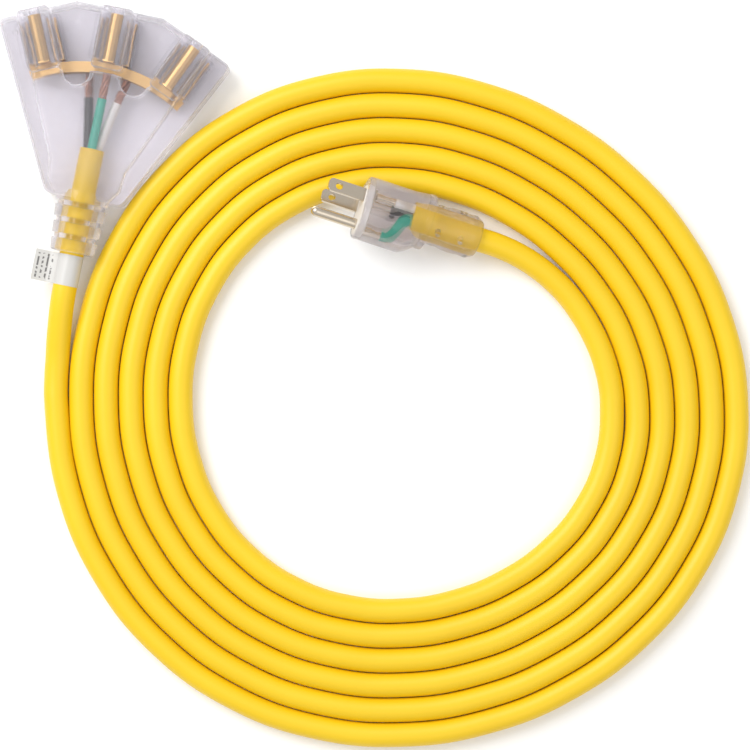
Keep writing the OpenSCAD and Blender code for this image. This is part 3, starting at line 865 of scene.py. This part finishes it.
def plug_shell():
    """The clear moulding: a boxy head that turns round, a rim and a grip."""
    head = [(0, 0.9), (0.35, 0.35), (1, 0), (8, 0), (16, 0), (22, 0)]
    rings = [plug_ring(x, 9 - s, -16.6 + s, 10.6 - s, 12 - s) for x, s in head]
    rings += [plug_ring(25, 9.8, -15, 11.2, 12.1), plug_ring(27, 11, -13.6, 11.9, 12.3)]
    rings += [plug_ring(28.6, 12.5), plug_ring(29.2, 12.8)]
    rings += [plug_ring(31.3, 12.8), plug_ring(31.7, 12.6), plug_ring(31.8, 12.2), plug_ring(31.9, 9.4)]
    bumps = [(33, 9.1), (36, 9.5), (38, 9.2), (41, 9.8), (44, 10), (47, 9.9), (49, 9.6), (52, 9.9)]
    rings += [plug_ring(x, r) for x, r in bumps + [(53, 9.7), (55.4, 8.3), (55.9, 7.8), (56, 7.2)]]
    shell = loft("plug_shell", rings, PLUG_FRAME)
    for x in RELIEF_HOLE_X:
        for turn in (RELIEF_HOLE_TURN, RELIEF_HOLE_TURN + 180):
            place = PLUG_FRAME @ turned("X", turn) @ Matrix.Translation((x, 0, 0))
            hole = loft("relief_hole", [ring(RELIEF_HOLE_R, z) for z in (CORD_R + 0.1, 14)], place)
            combine(shell, hole, "DIFFERENCE")
    smooth(shell)
    return shell


plug = finished(plug_shell(), PLUG_CLEAR, "clear_pvc", "plug_body")


def bridge_piece():
    """The stiff moulding that holds the blades, standing just proud of the head."""
    sections = [(-0.25, 1.2), (0.05, 0.4), (0.5, 0), (3, 0), (3.4, 0.3), (3.6, 1)]
    rings = [plug_ring(x, 7.5 - s, -16.2 + s, 7.6 - s, 8.8 - s) for x, s in sections]
    piece = loft("bridge", rings, PLUG_FRAME)
    smooth(piece)
    return piece


bridge = finished(bridge_piece(), NYLON, "white_nylon", "plug_bridge")


def blade(name, side):
    """A plated blade with eased edges, a round-cornered tip and a hole through it."""
    half_w, tip_r = BLADE_W / 2, 2
    outline = [(BLADE_BACK, -half_w), (BLADE_BACK, half_w)]
    outline += arc((tip_r - BLADE_LEN, half_w - tip_r), tip_r, 90, 180, 6)
    outline += arc((tip_r - BLADE_LEN, tip_r - half_w), tip_r, 180, 270, 6)
    middle = side * BLADE_HALF_GAP
    flats = (middle - BLADE_T / 2, middle + BLADE_T / 2)
    piece = prism(name, outline, *flats, PLUG_FRAME)
    inverse = PLUG_FRAME.inverted()
    for flat in flats:
        round_edges(piece, 0.25, 2, lambda a, b: all(
            abs((inverse @ end).z - flat) < 0.01 for end in (a, b)
        ))
    place = PLUG_FRAME @ Matrix.Translation((BLADE_HOLE_X, 0, middle))
    wide = BLADE_HOLE_R + 0.25
    sections = ((wide, -1), (BLADE_HOLE_R, -0.5), (BLADE_HOLE_R, 0.5), (wide, 1))
    hole = loft("hole", [ring(radius, z) for radius, z in sections], place)
    combine(piece, hole, "DIFFERENCE")
    smooth(piece)
    return piece


def along_plug(name, y, z, sections, notch=0.0):
    """A turned piece that lies along the plug, from pairs of distance and radius."""
    rings = []
    for x, radius in sections:
        points = plug_ring(x, radius, count=48)
        points[6] = tuple(
            value * (1 - notch / radius) if i else value for i, value in enumerate(points[6])
        )
        rings.append([(px, py + y, pz + z) for px, py, pz in points])
    return loft(name, rings, PLUG_FRAME)


def pin():
    """The folded ground pin: a domed tip, and the seam along its side."""
    dome = [math.radians(a) for a in (8, 30, 50, 70, 90)]
    tip = [(-PIN_LEN + PIN_R * (1 - math.cos(a)), PIN_R * math.sin(a)) for a in dome]
    piece = along_plug("ground_pin_piece", -GROUND_OFFSET, 0, tip + [(0, PIN_R), (0.02, 2), (7, 2)], 0.3)
    smooth(piece, 30)
    return piece


def crimp(name, y, z, first, last):
    """A barrel pressed round the bare strands, with a dent between two beads."""
    share = [(0, 0.8), (0.04, 1), (0.3, 1), (0.36, 0.84), (0.62, 0.84), (0.68, 1), (0.96, 1), (1, 0.85)]
    sections = [(first + (last - first) * s, CRIMP_R * r) for s, r in share]
    piece = along_plug(name, y, z, sections)
    smooth(piece)
    return piece


def plug_wire(name, start, entry):
    """An insulated wire that leaves its crimp straight and bends into the jacket."""
    start, entry = Vector(start), Vector(entry)
    ahead = Vector((1, 0, 0))
    points = [start - 0.3 * ahead, start + 1.8 * ahead, entry - 1.8 * ahead, entry + 0.3 * ahead]
    return tube(name, [PLUG_FRAME @ point for point in points], WIRE_R, steps=12)


for word, side, colour in (("line", -1, BLACK), ("neutral", 1, WHITE)):
    z = side * BLADE_HALF_GAP
    flat = blade(word + "_blade_piece", side)
    finished(flat, NICKEL, "plated_brass", word + "_blade")
    barrel = crimp(word + "_barrel", 0, z, *BLADE_CRIMP)
    finished(barrel, NICKEL, "plated_brass", word + "_crimp")
    entry = (PLUG_JACKET_X, PLUG_CORE_R / 2, side * PLUG_CORE_R * math.cos(math.radians(30)))
    wire = plug_wire(word + "_wire_in_plug", (BLADE_CRIMP[1], 0, z), entry)
    slot = {"line": "black_insulation", "neutral": "white_insulation"}[word]
    finished(wire, colour, slot, "plug_" + word + "_wire")
finished(pin(), NICKEL, "plated_brass", "ground_pin")
barrel = crimp("ground_barrel", -GROUND_OFFSET, 0, *PIN_CRIMP)
finished(barrel, NICKEL, "plated_brass", "ground_crimp")
wire = plug_wire("ground_wire_in_plug", (PIN_CRIMP[1], -GROUND_OFFSET, 0), (PLUG_JACKET_X, -3.2, 0))
finished(wire, GREEN, "green_insulation", "plug_ground_wire")

# ---- Pieces that keep the frame's own shape ----

finishes = {
    "brass": BRASS, "copper": COPPER, "plated_brass": NICKEL, "yellow_jacket": YELLOW,
    "black_insulation": BLACK, "white_insulation": WHITE, "green_insulation": GREEN,
}
slots = {part["node"]: part["material_slot"] for part in frame["record"]["subparts"]}
for name, node in frame["nodes"].items():
    if slots.get(name) in finishes:
        node.data.materials.clear()
        node.data.materials.append(finishes[slots[name]])

# ---- Floor and light ----

bpy.ops.mesh.primitive_plane_add(size=6, location=(VIEW_POINT.x, VIEW_POINT.y, -0.3 * MM))
floor = bpy.context.object
floor.name = "floor"
paper, paper_tree = begin("white_studio_paper")
paper_shader = add(paper_tree, "BsdfPrincipled", {"Base Color": paint("#FBFBFB"), "Roughness": 0.9})
add(paper_tree, "OutputMaterial", {"Surface": paper_shader.outputs[0]})
floor.data.materials.append(paper)


def softbox(name, azimuth, elevation, distance, size, power):
    """A square lamp that looks at the middle of the spiral."""
    a, e = math.radians(azimuth), math.radians(elevation)
    way = Vector((math.cos(a) * math.cos(e), math.sin(a) * math.cos(e), math.sin(e)))
    bpy.ops.object.light_add(type="AREA", location=VIEW_POINT + distance * way)
    lamp = bpy.context.object
    lamp.name = name
    lamp.rotation_euler = way.to_track_quat("Z", "Y").to_euler()
    lamp.data.size = size
    lamp.data.energy = power


softbox("key_light", 150, 48, 1.6, 1.1, 19.5)
softbox("fill_light", -20, 60, 1.8, 1.4, 5)

# A white room that is brightest overhead
world = bpy.data.worlds.new("studio")
bpy.context.scene.world = world
world.use_nodes = True
room = world.node_tree
room.nodes.clear()
height = add(room, "SeparateXYZ", {0: add(room, "TexCoord", {}).outputs["Generated"]})
glow = add(room, "MapRange", {0: height.outputs["Z"], 1: 0.0, 2: 0.8, 3: 0.55, 4: 0.72})
sky = add(room, "Background", {"Color": (1, 1, 1, 1), "Strength": glow.outputs[0]})
add(room, "OutputWorld", {"Surface": sky.outputs[0]})
bpy.context.scene.view_settings.view_transform = "Standard"
